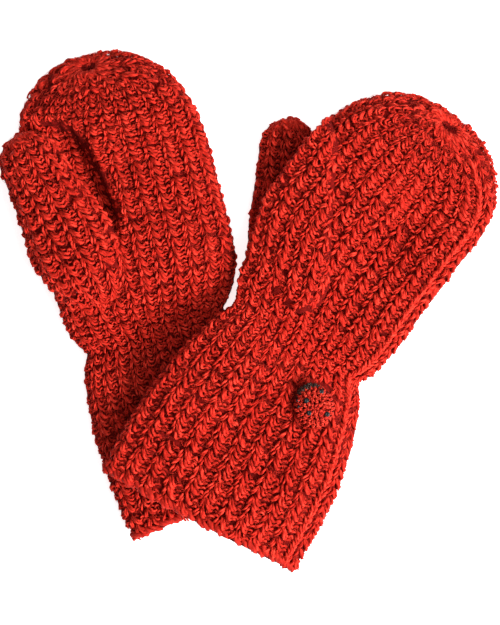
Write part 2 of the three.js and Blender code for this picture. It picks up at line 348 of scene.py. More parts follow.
class Fabric:
    """A round of fabric laid out evenly: a share of the way round, and a distance along it."""

    def __init__(self, surface: Callable[[Array, Array], Array], along: tuple[float, float],
                 start_angle: float) -> None:
        """Lay the fabric out.

        Args:
            surface: Gives places for an angle round and a distance along.
            along: First and last distance along.
            start_angle: Angle at which the share of the way round is 0.
        """
        t = along[0] + (along[1] - along[0]) * (0.5 - 0.5 * np.cos(np.linspace(0, math.pi, 481)))
        angle = start_angle + np.linspace(0, 2 * math.pi, 721)
        raw = surface(angle[None, :], t[:, None])
        places = self._even_round(raw, 480)
        step = np.linalg.norm(np.diff(places[:, :-1], axis=0), axis=-1).mean(1)
        length = np.concatenate([[0], np.cumsum(step)])
        self.length = float(length[-1])
        self.rows = int(self.length / 0.8) + 2
        wanted = np.linspace(0, self.length, self.rows)
        self.t_of_row = np.interp(wanted, length, t)
        at = np.interp(wanted, length, np.arange(len(length)))
        low = np.minimum(at.astype(int), len(length) - 2)
        share = (at - low)[:, None, None]
        self.places = places[low] * (1 - share) + places[low + 1] * share
        round_step = np.roll(self.places[:, :-1], -1, 1) - np.roll(self.places[:, :-1], 1, 1)
        along_step = np.gradient(self.places[:, :-1], axis=0)
        normals = np.cross(round_step, along_step)
        normals /= np.maximum(np.linalg.norm(normals, axis=-1, keepdims=True), 1e-9)
        middle = self.places[:, :-1].mean(1, keepdims=True)
        if ((self.places[:, :-1] - middle) * normals).sum() < 0:
            normals = -normals
        self.normals = np.concatenate([normals, normals[:, :1]], 1)
        self.girth = np.linalg.norm(np.diff(self.places, axis=1), axis=-1).sum(1)

    @staticmethod
    def _even_round(raw: Array, count: int) -> Array:
        """Space each row's places evenly round it.

        Args:
            raw: Rows of places, the last of each row being its first again.
            count: How many steps go round.

        Returns:
            Rows of count + 1 places.
        """
        rows = []
        for row in raw:
            length = np.concatenate([[0], np.cumsum(np.linalg.norm(np.diff(row, axis=0), axis=1))])
            wanted = np.linspace(0, length[-1], count + 1)
            rows.append(np.stack([np.interp(wanted, length, row[:, k]) for k in range(3)], -1))
        return np.array(rows)

    def sample(self, u: Array, s: Array) -> tuple[Array, Array]:
        """Places and outward directions.

        Args:
            u: Shares of the way round.
            s: Distances along.

        Returns:
            The places and the unit normals.
        """
        columns = self.places.shape[1] - 1
        x = np.mod(u, 1.0) * columns
        y = np.clip(s / self.length, 0, 1) * (self.rows - 1)
        i = np.minimum(x.astype(int), columns - 1)
        j = np.minimum(y.astype(int), self.rows - 2)
        fx, fy = (x - i)[..., None], (y - j)[..., None]

        def mix(grid: Array) -> Array:
            """Blend the four values of a grid round each place."""
            low = grid[j, i] * (1 - fx) + grid[j, i + 1] * fx
            high = grid[j + 1, i] * (1 - fx) + grid[j + 1, i + 1] * fx
            return low * (1 - fy) + high * fy

        normal = mix(self.normals)
        return mix(self.places), normal / np.maximum(np.linalg.norm(normal, axis=-1, keepdims=True), 1e-9)

    def girth_at(self, s: Array) -> Array:
        """Distance round the fabric at distances along it."""
        return np.interp(s, np.linspace(0, self.length, self.rows), self.girth)

    def s_at(self, t: float) -> float:
        """Distance along the fabric at a distance from the wrist or hinge."""
        return float(np.interp(t, self.t_of_row, np.linspace(0, self.length, self.rows)))


class Family(Enum):
    """Kinds of strand in a stitch, each of which becomes its own piece."""

    BARS = "bars"
    LEGS = "legs"
    ARCHES = "arches"


@dataclass(frozen=True)
class Strand:
    """One strand of a stitch: its way across the rib, along it and above its base."""

    family: Family
    way: tuple[tuple[float, float, float], ...]
    radius: float
    rings: int
    swell: tuple[float, float, float] = (0.55, 1.0, 0.55)

    def girth(self) -> Array:
        """Share of the radius at each ring: start, middle and end, with a full middle."""
        start, middle, end = self.swell
        share = np.linspace(0, 1, self.rings)
        return np.interp(share, (0.0, 0.22, 0.5, 0.78, 1.0),
                         (start, (start + middle) / 2 + 0.15, middle, (middle + end) / 2 + 0.2, end))

    def smoothed(self) -> Array:
        """Way of the strand as evenly stepped places on a smooth curve."""
        points = np.array(self.way)
        padded = np.vstack([2 * points[0] - points[1], points, 2 * points[-1] - points[-2]])
        out = []
        for value in np.linspace(0, len(points) - 1 - 1e-6, self.rings):
            k = int(value)
            f = value - k
            a, b, c, d = padded[k:k + 4]
            out.append(0.5 * (2 * b + (c - a) * f + (2 * a - 5 * b + 4 * c - d) * f**2
                              + (3 * b - a - 3 * c + d) * f**3))
        return np.array(out)


# Across is a share of the rib's width, along a share of the stitch, and height in millimetres.
STITCH: tuple[Strand, ...] = (
    Strand(Family.BARS, ((-0.01, -0.04, 1.4), (0.03, 0.26, 3.3), (0.08, 0.56, 3.5), (0.14, 0.86, 1.6)),
           0.74, 6),
    Strand(Family.BARS, ((0.09, -0.16, 1.3), (0.125, 0.14, 3.0), (0.17, 0.44, 3.2), (0.22, 0.72, 1.6)),
           0.70, 6),
    Strand(Family.LEGS, ((0.19, 1.00, 1.1), (0.26, 0.74, 2.6), (0.35, 0.44, 3.6), (0.46, 0.18, 3.9),
                         (0.57, 0.07, 3.2), (0.66, 0.16, 1.5)), 0.88, 9, (0.5, 1.12, 0.6)),
    Strand(Family.LEGS, ((0.27, 1.15, 0.9), (0.34, 0.90, 2.4), (0.43, 0.64, 3.3), (0.53, 0.42, 3.6),
                         (0.63, 0.35, 2.9), (0.71, 0.47, 1.4)), 0.82, 9, (0.5, 1.1, 0.6)),
    Strand(Family.LEGS, ((0.45, 1.10, 1.0), (0.54, 0.87, 2.1), (0.63, 0.74, 2.0), (0.72, 0.82, 1.0)),
           0.60, 6),
    Strand(Family.ARCHES, ((0.62, 0.30, 1.3), (0.71, 0.56, 2.5), (0.82, 0.68, 2.5), (0.92, 0.56, 1.8),
                           (0.99, 0.32, 0.9)), 0.74, 7),
    Strand(Family.ARCHES, ((0.66, -0.06, 1.0), (0.77, 0.10, 2.1), (0.88, 0.18, 2.1), (1.02, 0.08, 1.1)),
           0.74, 6),
    Strand(Family.ARCHES, ((0.72, 0.40, 0.8), (0.86, 0.44, 1.5), (1.02, 0.34, 0.9)), 0.68, 4),
)
STITCH_TOP = 3.5
LOOSE_STRANDS = (1, 3, 4)
WIDE_RIB_STRANDS = (4, 6, 7)


@dataclass
class Yarn:
    """Strands gathered for one piece: ring centres, radii, outward directions and tones."""

    centres: list[Array] = field(default_factory=list)
    radii: list[Array] = field(default_factory=list)
    normals: list[Array] = field(default_factory=list)
    tones: list[Array] = field(default_factory=list)
    # How deep each ring lies, which sets how much painted shade it gets.
    depths: list[Array] = field(default_factory=list)
    lobe_turn: float = 1.05
    lobe_depth: float = 0.26

    def add(self, centres: Array, radii: Array | float, normals: Array | tuple[float, float, float],
            tones: Array, depths: Array | float) -> None:
        """Add strands that share one count of rings.

        Args:
            centres: Ring centres, strand by ring by XYZ.
            radii: Ring radii, for every ring or one for all.
            normals: Outward directions, for every ring or one for all.
            tones: Shade of each strand, from 0 to 1.
            depths: How deep a ring lies, from 0 at the top to 1 at the base, which sets how much painted
                shade its wool gets.
        """
        self.centres.append(centres)
        self.radii.append(np.broadcast_to(radii, centres.shape[:2]))
        self.normals.append(np.broadcast_to(normals, centres.shape))
        self.tones.append(tones)
        self.depths.append(np.broadcast_to(depths, centres.shape[:2]))

    def mesh(self, name: str, sides: int = 6) -> bpy.types.Mesh:
        """Turn the strands into closed tubes.

        Args:
            name: Name of the mesh.
            sides: Sides of each tube.

        Returns:
            The mesh, with the attribute tone, an attribute of painted shade by depth, and a UV map along the
            strands.
        """
        parts, loops, totals, tone, recess_shade, uvs = [], [], [], [], [], []
        base = 0
        ring_angle = np.linspace(0, 2 * math.pi, sides, endpoint=False)
        for centre, radius, normal, shade, depth in zip(
                self.centres, self.radii, self.normals, self.tones, self.depths):
            strands, rings = radius.shape
            turn = shade[:, None] * 20 + self.lobe_turn * np.arange(rings)[None]
            lobes = 1 + self.lobe_depth * np.cos(2 * (ring_angle - turn[..., None]))
            tangent = np.gradient(centre, axis=1)
            tangent /= np.maximum(np.linalg.norm(tangent, axis=-1, keepdims=True), 1e-9)
            side = np.cross(tangent, normal)
            side /= np.maximum(np.linalg.norm(side, axis=-1, keepdims=True), 1e-9)
            upward = np.cross(side, tangent)
            offset = (np.cos(ring_angle)[:, None] * side[:, :, None] + np.sin(ring_angle)[:, None]
                      * upward[:, :, None])
            points = centre[:, :, None] + offset * (radius[:, :, None] * lobes)[..., None]
            parts.append(points.reshape(-1, 3))
            first = base + (np.arange(strands) * rings * sides)[:, None]
            k = np.arange(sides)
            quads = (first[..., None] + ring_quads(rings, sides)).reshape(-1, 4)
            start_cap = first + k[::-1]
            end_cap = first + (rings - 1) * sides + k
            lengths = np.concatenate([np.zeros((strands, 1)), np.cumsum(
                np.linalg.norm(np.diff(centre, axis=1), axis=-1), axis=1)], 1)
            along = np.repeat(lengths[:, :, None], sides, 2).reshape(-1)
            quad_v = np.stack([k, k + 1, k + 1, k], -1) / sides
            quad_v = np.broadcast_to(quad_v, (strands, rings - 1, sides, 4)).reshape(-1)
            quad_u = along[quads.reshape(-1) - base]
            shift = np.repeat(shade * 7.0, (rings - 1) * sides * 4)
            uvs.append(np.stack([quad_u * 0.1 + shift, quad_v], -1))
            cap_count = 2 * strands * sides
            uvs.append(np.zeros((cap_count, 2)))
            loops += [quads.reshape(-1), start_cap.reshape(-1), end_cap.reshape(-1)]
            totals += [np.full(len(quads), 4), np.full(2 * strands, sides)]
            tone.append(np.repeat(shade, rings * sides))
            recess_shade.append(np.repeat(depth.reshape(-1), sides))
            base += strands * rings * sides
        mesh = raw_mesh(name, np.concatenate(parts) * MM, np.concatenate(loops), np.concatenate(totals))
        for label, values in (("tone", tone), ("recess_shade", recess_shade)):
            attribute = mesh.attributes.new(label, "FLOAT", "POINT")
            attribute.data.foreach_set("value", np.concatenate(values).astype(np.float32))
        layer = mesh.uv_layers.new(name="strand")
        layer.data.foreach_set("uv", np.concatenate(uvs).astype(np.float32).ravel())
        return mesh


def ring_quads(rings: int, around: int) -> Array:
    """Corner numbers of the faces between rings of places that follow one another.

    Args:
        rings: Count of rings.
        around: Places in each ring.

    Returns:
        Four corner numbers for each face.
    """
    j, i = np.meshgrid(np.arange(rings - 1), np.arange(around), indexing="ij")
    here, after = j * around + i, j * around + (i + 1) % around
    return np.stack([here, after, after + around, here + around], -1).reshape(-1, 4)


def ring_body(name: str, rings: Array) -> bpy.types.Mesh:
    """Make a closed body from rings of places, with a flat face over each end ring.

    Args:
        name: Name of the mesh.
        rings: Places in millimetres, ring by place by XYZ, from the top ring down.

    Returns:
        The mesh.
    """
    count, around = rings.shape[:2]
    quads = ring_quads(count, around)[:, [0, 3, 2, 1]]
    k = np.arange(around)
    loops = np.concatenate([quads.reshape(-1), k, (count - 1) * around + k[::-1]])
    return raw_mesh(name, rings.reshape(-1, 3) * MM, loops, np.array([4] * len(quads) + [around] * 2))


def raw_mesh(name: str, points: Array, loops: Array, totals: Array) -> bpy.types.Mesh:
    """Make a smooth-shaded mesh from arrays.

    Args:
        name: Name of the mesh.
        points: Vertex places in metres.
        loops: Vertex numbers of all faces, one after another.
        totals: Corners of each face.

    Returns:
        The mesh.
    """
    mesh = bpy.data.meshes.new(name)
    mesh.vertices.add(len(points))
    mesh.vertices.foreach_set("co", points.astype(np.float32).ravel())
    mesh.loops.add(len(loops))
    mesh.loops.foreach_set("vertex_index", loops.astype(np.int32))
    mesh.polygons.add(len(totals))
    starts = np.concatenate([[0], np.cumsum(totals)[:-1]]).astype(np.int32)
    mesh.polygons.foreach_set("loop_start", starts)
    mesh.update(calc_edges=True)
    mesh.validate()
    mesh.polygons.foreach_set("use_smooth", np.ones(len(mesh.polygons), bool))
    return mesh


def piece(mesh: bpy.types.Mesh, material: bpy.types.Material) -> bpy.types.Object:
    """Link a mesh into the scene as a piece of the object.

    Args:
        mesh: The piece's mesh, whose name becomes the piece's.
        material: Its material.

    Returns:
        The new object.
    """
    made = bpy.data.objects.new(mesh.name, mesh)
    bpy.context.scene.collection.objects.link(made)
    mesh.materials.append(material)
    LOG.info("%s: %d faces", made.name, len(mesh.polygons))
    return made


# ---- Finishes ----


class Nodes:
    """A short way to write a material's node tree."""

    def __init__(self, name: str) -> None:
        """Start a material with a surface shader."""
        self.material = bpy.data.materials.new(name)
        self.material.use_nodes = True
        self.tree = self.material.node_tree
        self.shader = self.tree.nodes["Principled BSDF"]

    def add(self, kind: str, **settings: object) -> bpy.types.Node:
        """Add a node.

        Args:
            kind: The node's type without its ShaderNode prefix.
            **settings: Properties, or inputs where the name is that of an input.

        Returns:
            The node.
        """
        node = self.tree.nodes.new("ShaderNode" + kind)
        for key, value in settings.items():
            label = key.replace("_", " ").title()
            if hasattr(node, key):
                setattr(node, key, value)
            else:
                node.inputs[label].default_value = value
        return node

    def link(self, source: bpy.types.NodeSocket, node: bpy.types.Node, socket: str | int) -> None:
        """Join an output to an input of a node."""
        self.tree.links.new(source, node.inputs[socket])

    def ramp(self, source: bpy.types.NodeSocket, stops: Sequence[tuple[float, tuple[float, ...]]],
             ) -> bpy.types.NodeSocket:
        """Colour a value by a ramp.

        Args:
            source: The value.
            stops: Places on the ramp and their colours.

        Returns:
            The colour output.
        """
        node = self.add("ValToRGB")
        elements = node.color_ramp.elements
        while len(elements) < len(stops):
            elements.new(0.5)
        for element, (place, colour) in zip(elements, stops):
            element.position = place
            element.color = (*colour[:3], 1.0)
        self.link(source, node, "Fac")
        return node.outputs["Color"]

    def math(self, operation: str, first: bpy.types.NodeSocket, second: bpy.types.NodeSocket | float,
             ) -> bpy.types.NodeSocket:
        """Combine two values.

        Args:
            operation: The operation's name.
            first: First value.
            second: Second value, as an output or a number.

        Returns:
            The result's output.
        """
        node = self.add("Math", operation=operation)
        self.link(first, node, 0)
        if isinstance(second, float):
            node.inputs[1].default_value = second
        else:
            self.link(second, node, 1)
        return node.outputs[0]

    def mix(self, share: bpy.types.NodeSocket, first: bpy.types.NodeSocket | tuple[float, ...],
            second: bpy.types.NodeSocket | tuple[float, ...]) -> bpy.types.NodeSocket:
        """Mix two colours.

        Args:
            share: Share of the second colour.
            first: First colour or its socket.
            second: Second colour or its socket.

        Returns:
            The colour output.
        """
        node = self.add("Mix", data_type="RGBA")
        self.link(share, node, "Factor")
        for value, socket in ((first, 6), (second, 7)):
            if isinstance(value, tuple):
                node.inputs[socket].default_value = (*value[:3], 1.0)
            else:
                self.link(value, node, socket)
        return node.outputs[2]

    def bump(self, height: bpy.types.NodeSocket, strength: float, distance: float) -> None:
        """Raise the surface by a height value.

        Args:
            height: The height.
            strength: Strength of the effect.
            distance: Height of a full value, in metres.
        """
        node = self.add("Bump", strength=strength, distance=distance)
        self.link(height, node, "Height")
        self.link(node.outputs["Normal"], self.shader, "Normal")


@dataclass(frozen=True)
class WoolFinish:
    """Two-ply wool: twisted plies, fine fibres, and painted shade in the grooves between the plies and in
    the recesses between the strands.
    """

    name: str
    deep: tuple[float, float, float]
    body: tuple[float, float, float]
    bright: tuple[float, float, float]
    twist: float = 13.0
    sheen: float = 0.2
    roughness: float = 0.72

    def material(self) -> bpy.types.Material:
        """Make the wool's material."""
        nodes = Nodes(self.name)
        tone = nodes.add("Attribute", attribute_name="tone").outputs["Fac"]
        recess_shade = nodes.add("Attribute", attribute_name="recess_shade").outputs["Fac"]
        uv = nodes.add("UVMap", uv_map="strand").outputs["UV"]
        split = nodes.add("SeparateXYZ")
        nodes.link(uv, split, 0)
        turned = nodes.math("ADD", nodes.math("MULTIPLY", split.outputs["X"], self.twist),
                            nodes.math("MULTIPLY", split.outputs["Y"], 2 * math.pi * 2))
        plies = nodes.math("MULTIPLY_ADD", nodes.math("SINE", turned, 0.0), 0.5)
        plies.node.inputs[2].default_value = 0.5
        fibres = nodes.add("TexNoise", scale=1400.0, detail=4.0, roughness=0.7)
        patches = nodes.add("TexNoise", scale=45.0, detail=3.0)
        position = nodes.add("TexCoord").outputs["Object"]
        nodes.link(position, fibres, "Vector")
        nodes.link(position, patches, "Vector")
        shade = nodes.math("ADD", nodes.math("MULTIPLY", tone, 0.5),
                           nodes.math("MULTIPLY", fibres.outputs["Fac"], 0.5))
        shade = nodes.math("ADD", nodes.math("MULTIPLY", shade, 0.75), nodes.math("MULTIPLY", plies, 0.25))
        colour = nodes.ramp(shade, ((0.22, self.deep), (0.5, self.body), (0.78, self.bright)))
        colour = nodes.mix(nodes.math("MULTIPLY", patches.outputs["Fac"], 0.15), colour, self.deep)
        # Painted shade in the grooves between the plies: the colour is darkened towards the deep colour
        # where the ply pattern dips.
        between = nodes.math("POWER", nodes.math("SUBTRACT", nodes.math("MULTIPLY", plies, -1.0), -1.0), 2.0)
        colour = nodes.mix(nodes.math("MULTIPLY", between, 0.8), colour, self.deep)
        # Painted shade: the lower a ring lies in the stitch, the more its colour is darkened towards the
        # deep colour.
        colour = nodes.mix(nodes.math("POWER", recess_shade, 1.6), colour, tuple(0.8 * c for c in self.deep))
        nodes.link(colour, nodes.shader, "Base Color")
        height = nodes.math("ADD", nodes.math("MULTIPLY", plies, 0.6), fibres.outputs["Fac"])
        nodes.bump(height, 0.55, 0.0006)
        nodes.shader.inputs["Roughness"].default_value = self.roughness
        nodes.shader.inputs["Sheen Weight"].default_value = self.sheen
        nodes.shader.inputs["Sheen Roughness"].default_value = 0.4
        nodes.shader.inputs["Sheen Tint"].default_value = (1.0, 0.12, 0.06, 1.0)
        nodes.shader.inputs["Specular IOR Level"].default_value = 0.12
        return nodes.material


@dataclass(frozen=True)
class LiningFinish:
    """The wool seen between and behind the strands, matt, and drawn dark as painted shade."""

    name: str
    colour: tuple[float, float, float]

    def material(self) -> bpy.types.Material:
        """Make the lining's material."""
        nodes = Nodes(self.name)
        noise = nodes.add("TexNoise", scale=420.0, detail=5.0, roughness=0.65)
        nodes.link(nodes.add("TexCoord").outputs["Object"], noise, "Vector")
        dark = tuple(0.35 * c for c in self.colour)
        nodes.link(nodes.ramp(noise.outputs["Fac"], ((0.35, dark), (0.7, self.colour))),
                   nodes.shader, "Base Color")
        nodes.bump(noise.outputs["Fac"], 0.8, 0.0008)
        nodes.shader.inputs["Roughness"].default_value = 0.95
        nodes.shader.inputs["Specular IOR Level"].default_value = 0.1
        return nodes.material


@dataclass(frozen=True)
class BeadFinish:
    """A glossy dark bead with a faint cloud in it."""

    name: str
    colour: tuple[float, float, float]

    def material(self) -> bpy.types.Material:
        """Make the bead's material."""
        nodes = Nodes(self.name)
        noise = nodes.add("TexNoise", scale=900.0, detail=2.0)
        nodes.link(nodes.add("TexCoord").outputs["Object"], noise, "Vector")
        pale = tuple(min(1.0, 2.6 * c) for c in self.colour)
        nodes.link(nodes.ramp(noise.outputs["Fac"], ((0.3, self.colour), (0.8, pale))),
                   nodes.shader, "Base Color")
        nodes.shader.inputs["Roughness"].default_value = 0.32
        nodes.shader.inputs["Specular IOR Level"].default_value = 0.3
        return nodes.material


# ---- Sub-assemblies ----


@dataclass
class Palette:
    """The materials of the pair, made once."""

    wool: bpy.types.Material = field(default_factory=lambda: WoolFinish(
        "red_wool", (0.36, 0.009, 0.004), (0.62, 0.020, 0.009), (0.82, 0.050, 0.026)).material())
    # The inside wool is drawn far darker than the strands' wool, as painted shade behind and between them.
    lining: bpy.types.Material = field(default_factory=lambda: LiningFinish(
        "red_wool_inside_painted_shade", (0.22, 0.005, 0.003)).material())
    thread: bpy.types.Material = field(default_factory=lambda: WoolFinish(
        "red_cotton_thread", (0.2, 0.006, 0.004), (0.62, 0.022, 0.010), (0.90, 0.07, 0.034),
        twist=60.0, sheen=0.05).material())
    # The button's form is drawn nearly black, as painted shade in the holes between the loops.
    shaded_padding: bpy.types.Material = field(default_factory=lambda: LiningFinish(
        "red_padding_painted_shade", (0.06, 0.003, 0.002)).material())
    dark: bpy.types.Material = field(default_factory=lambda: WoolFinish(
        "dark_brown_thread", (0.014, 0.009, 0.007), (0.045, 0.03, 0.025), (0.12, 0.085, 0.07),
        twist=60.0, sheen=0.2).material())
    felt: bpy.types.Material = field(default_factory=lambda: LiningFinish(
        "brown_felt", (0.05, 0.032, 0.026)).material())
    bead: bpy.types.Material = field(default_factory=lambda: BeadFinish(
        "black_bead", (0.004, 0.004, 0.0045)).material())


@dataclass
class Crochet:
    """Back-loop crochet laid over a fabric: ribs round it and stitches along it."""

    fabric: Fabric
    ribs: int
    rng: np.random.Generator
    pitch: float = 6.1
    seam_width: float = 0.0
    rib_width: float = 11.5
    hand_pitch: float = 5.5
    button: Array | None = None
    tight_at: float | None = None
    tight_pitch: float = 4.5
    tight_reach: float = 15.0
    first: float = 0.0
    last: float = 0.0
    narrowest: float = 6.0
    flattened: float = 1.4
    pressed: float = 2.4
    pressed_reach: tuple[float, float] = (11.0, 16.0)
    stray: tuple[float, float, float] = (0.03, 0.11, 0.26)
    strand_stray: tuple[float, float, float] = (0.02, 0.07, 0.2)
    loose_stray: float = 0.38
    lean: float = 0.09

    def stitch_rows(self, start: float, end: float) -> list[tuple[float, float]]:
        """Space the stitches along a stretch of the fabric.

        Args:
            start: Where the stretch starts.
            end: Where it ends.

        Returns:
            Start and length of each row's stitches.
        """
        self.first, self.last = start, end
        rows, s = [], start - self.pitch
        while s < end:
            length = self.pitch
            if self.tight_at is not None:
                length += (self.hand_pitch - self.pitch) * float(smooth(-20, 20, s - self.tight_at))
                drawn = math.exp(-(((s - self.tight_at) / self.tight_reach) ** 2))
                length -= (self.pitch - self.tight_pitch) * drawn
            rows.append((s, length))
            s += length
        return rows

    def unevenness(self, u: Array, s: Array) -> Array:
        """How far the fabric rises and falls where the crochet is tighter or looser."""
        round_way = 2 * math.pi * u
        return (0.30 * np.sin(5 * round_way + s * 0.11) * np.sin(s * 0.19 + 1.3)
                + 0.22 * np.sin(9 * round_way - s * 0.27 + 0.7))

    def pressed_by(self, places: Array) -> Array | float:
        """Find how far the button presses the stitches in.

        Args:
            places: Places on the fabric.

        Returns:
            The depth at each place.
        """
        if self.button is None:
            return 0.0
        away = np.linalg.norm((places - self.button)[..., :2], axis=-1)
        same_face = np.abs(places[..., 2] - self.button[2]) < 9
        return self.pressed * same_face * (1 - smooth(*self.pressed_reach, away))

    def lay(self, rows: Iterable[tuple[float, float]]) -> dict[Family, Yarn]:
        """Lay the strands of every stitch in some rows.

        Args:
            rows: Start and length of each row's stitches.

        Returns:
            The strands of each family.
        """
        laid = {family: Yarn() for family in Family}
        offset = np.random.default_rng(self.ribs).random(self.ribs)
        cells = [(rib, s + offset[rib] * length, length) for s, length in rows for rib in range(self.ribs)]
        if not cells:
            return laid
        rib, start, length = (np.array(values, float) for values in zip(*cells))
        inside = (start > self.first - 0.3 * length) & (start + 0.7 * length < self.last)
        rib, start, length = rib[inside], start[inside], length[inside]
        girth = self.fabric.girth_at(start + length / 2)
        usable = 1 - self.seam_width / np.maximum(girth, 1e-6)
        width = girth * usable / self.ribs
        merged = 2 ** np.clip(np.ceil(np.log2(self.narrowest / np.maximum(width, 0.1))), 0, 3)
        span = np.minimum(merged, self.ribs - rib)
        keep = (rib % merged == 0) & (width * span > 1.5)
        rib, start, length, girth, usable, width, span = (
            values[keep] for values in (rib, start, length, girth, usable, width * span, span))
        count = len(rib)
        wander = self.rng.normal(0, 1, (count, 6))
        waver = 0.022 * np.sin(start * 0.23 + rib * 1.9) + 0.014 * np.sin(start * 0.09 + rib * 4.1)
        shade = self.rng.random((count, len(STITCH)))
        scale = np.clip(width / self.rib_width, 0.2, 1.15)
        for number, strand in enumerate(STITCH):
            way = strand.smoothed()
            chosen = np.flatnonzero(width > (self.narrowest if number in WIDE_RIB_STRANDS else 0.0))
            if not len(chosen):
                continue
            jitter = self.rng.normal(0, 1, (len(chosen), len(way), 3)).cumsum(1) * 0.008
            local = way[None] + jitter * np.array([1.0, 2.0, 9.0])
            local = local + (wander[chosen, None, :3] * np.array(self.stray))
            loose = self.loose_stray if number in LOOSE_STRANDS else self.strand_stray[2]
            own = self.rng.normal(0, 1, (len(chosen), 1, 3)) * np.array([*self.strand_stray[:2], loose])
            local = local + own
            lean = wander[chosen, 3] * self.lean
            local[..., 0] += lean[:, None] * (local[..., 1] - 0.5)
            from_left = span[chosen, None] * (1 - local[..., 0] - waver[chosen, None])
            across = (rib[chosen, None] + from_left) / self.ribs
            u = across * usable[chosen, None] + (1 - usable[chosen, None]) / 2
            s = start[chosen, None] + local[..., 1] * length[chosen, None]
            places, normals = self.fabric.sample(u, s)
            low = scale[chosen, None] ** 0.5
            height = (local[..., 2] - STITCH_TOP) * np.minimum(1.0, low) + self.unevenness(u, s)
            height = height - self.pressed_by(places) - self.flattened * np.clip(-normals[..., 2], 0, 1)
            centres = places + normals * height[..., None]
            thick = strand.radius * (1 + 0.07 * self.rng.normal(0, 1, (len(chosen), 1)))
            radii = thick * strand.girth()[None] * np.clip(scale[chosen, None], 0.35, 1.08) ** 0.75
            # Painted shade: rings that lie lower below the stitch's top are marked to be drawn darker.
            recess_shade = np.clip(1 - (local[..., 2] - 0.4) / 2.8, 0, 1)
            tones = 0.65 * shade[chosen, number] + 0.35 * shade[chosen, 0]
            laid[strand.family].add(centres, radii, normals, tones, recess_shade)
        return laid


class Zone(Enum):
    """Stretches of a mitten by how they move."""

    CUFF = "cuff"
    WRIST = "wrist"
    HAND = "hand"
    THUMB = "thumb"
    THUMB_ROOT = "thumb_root"


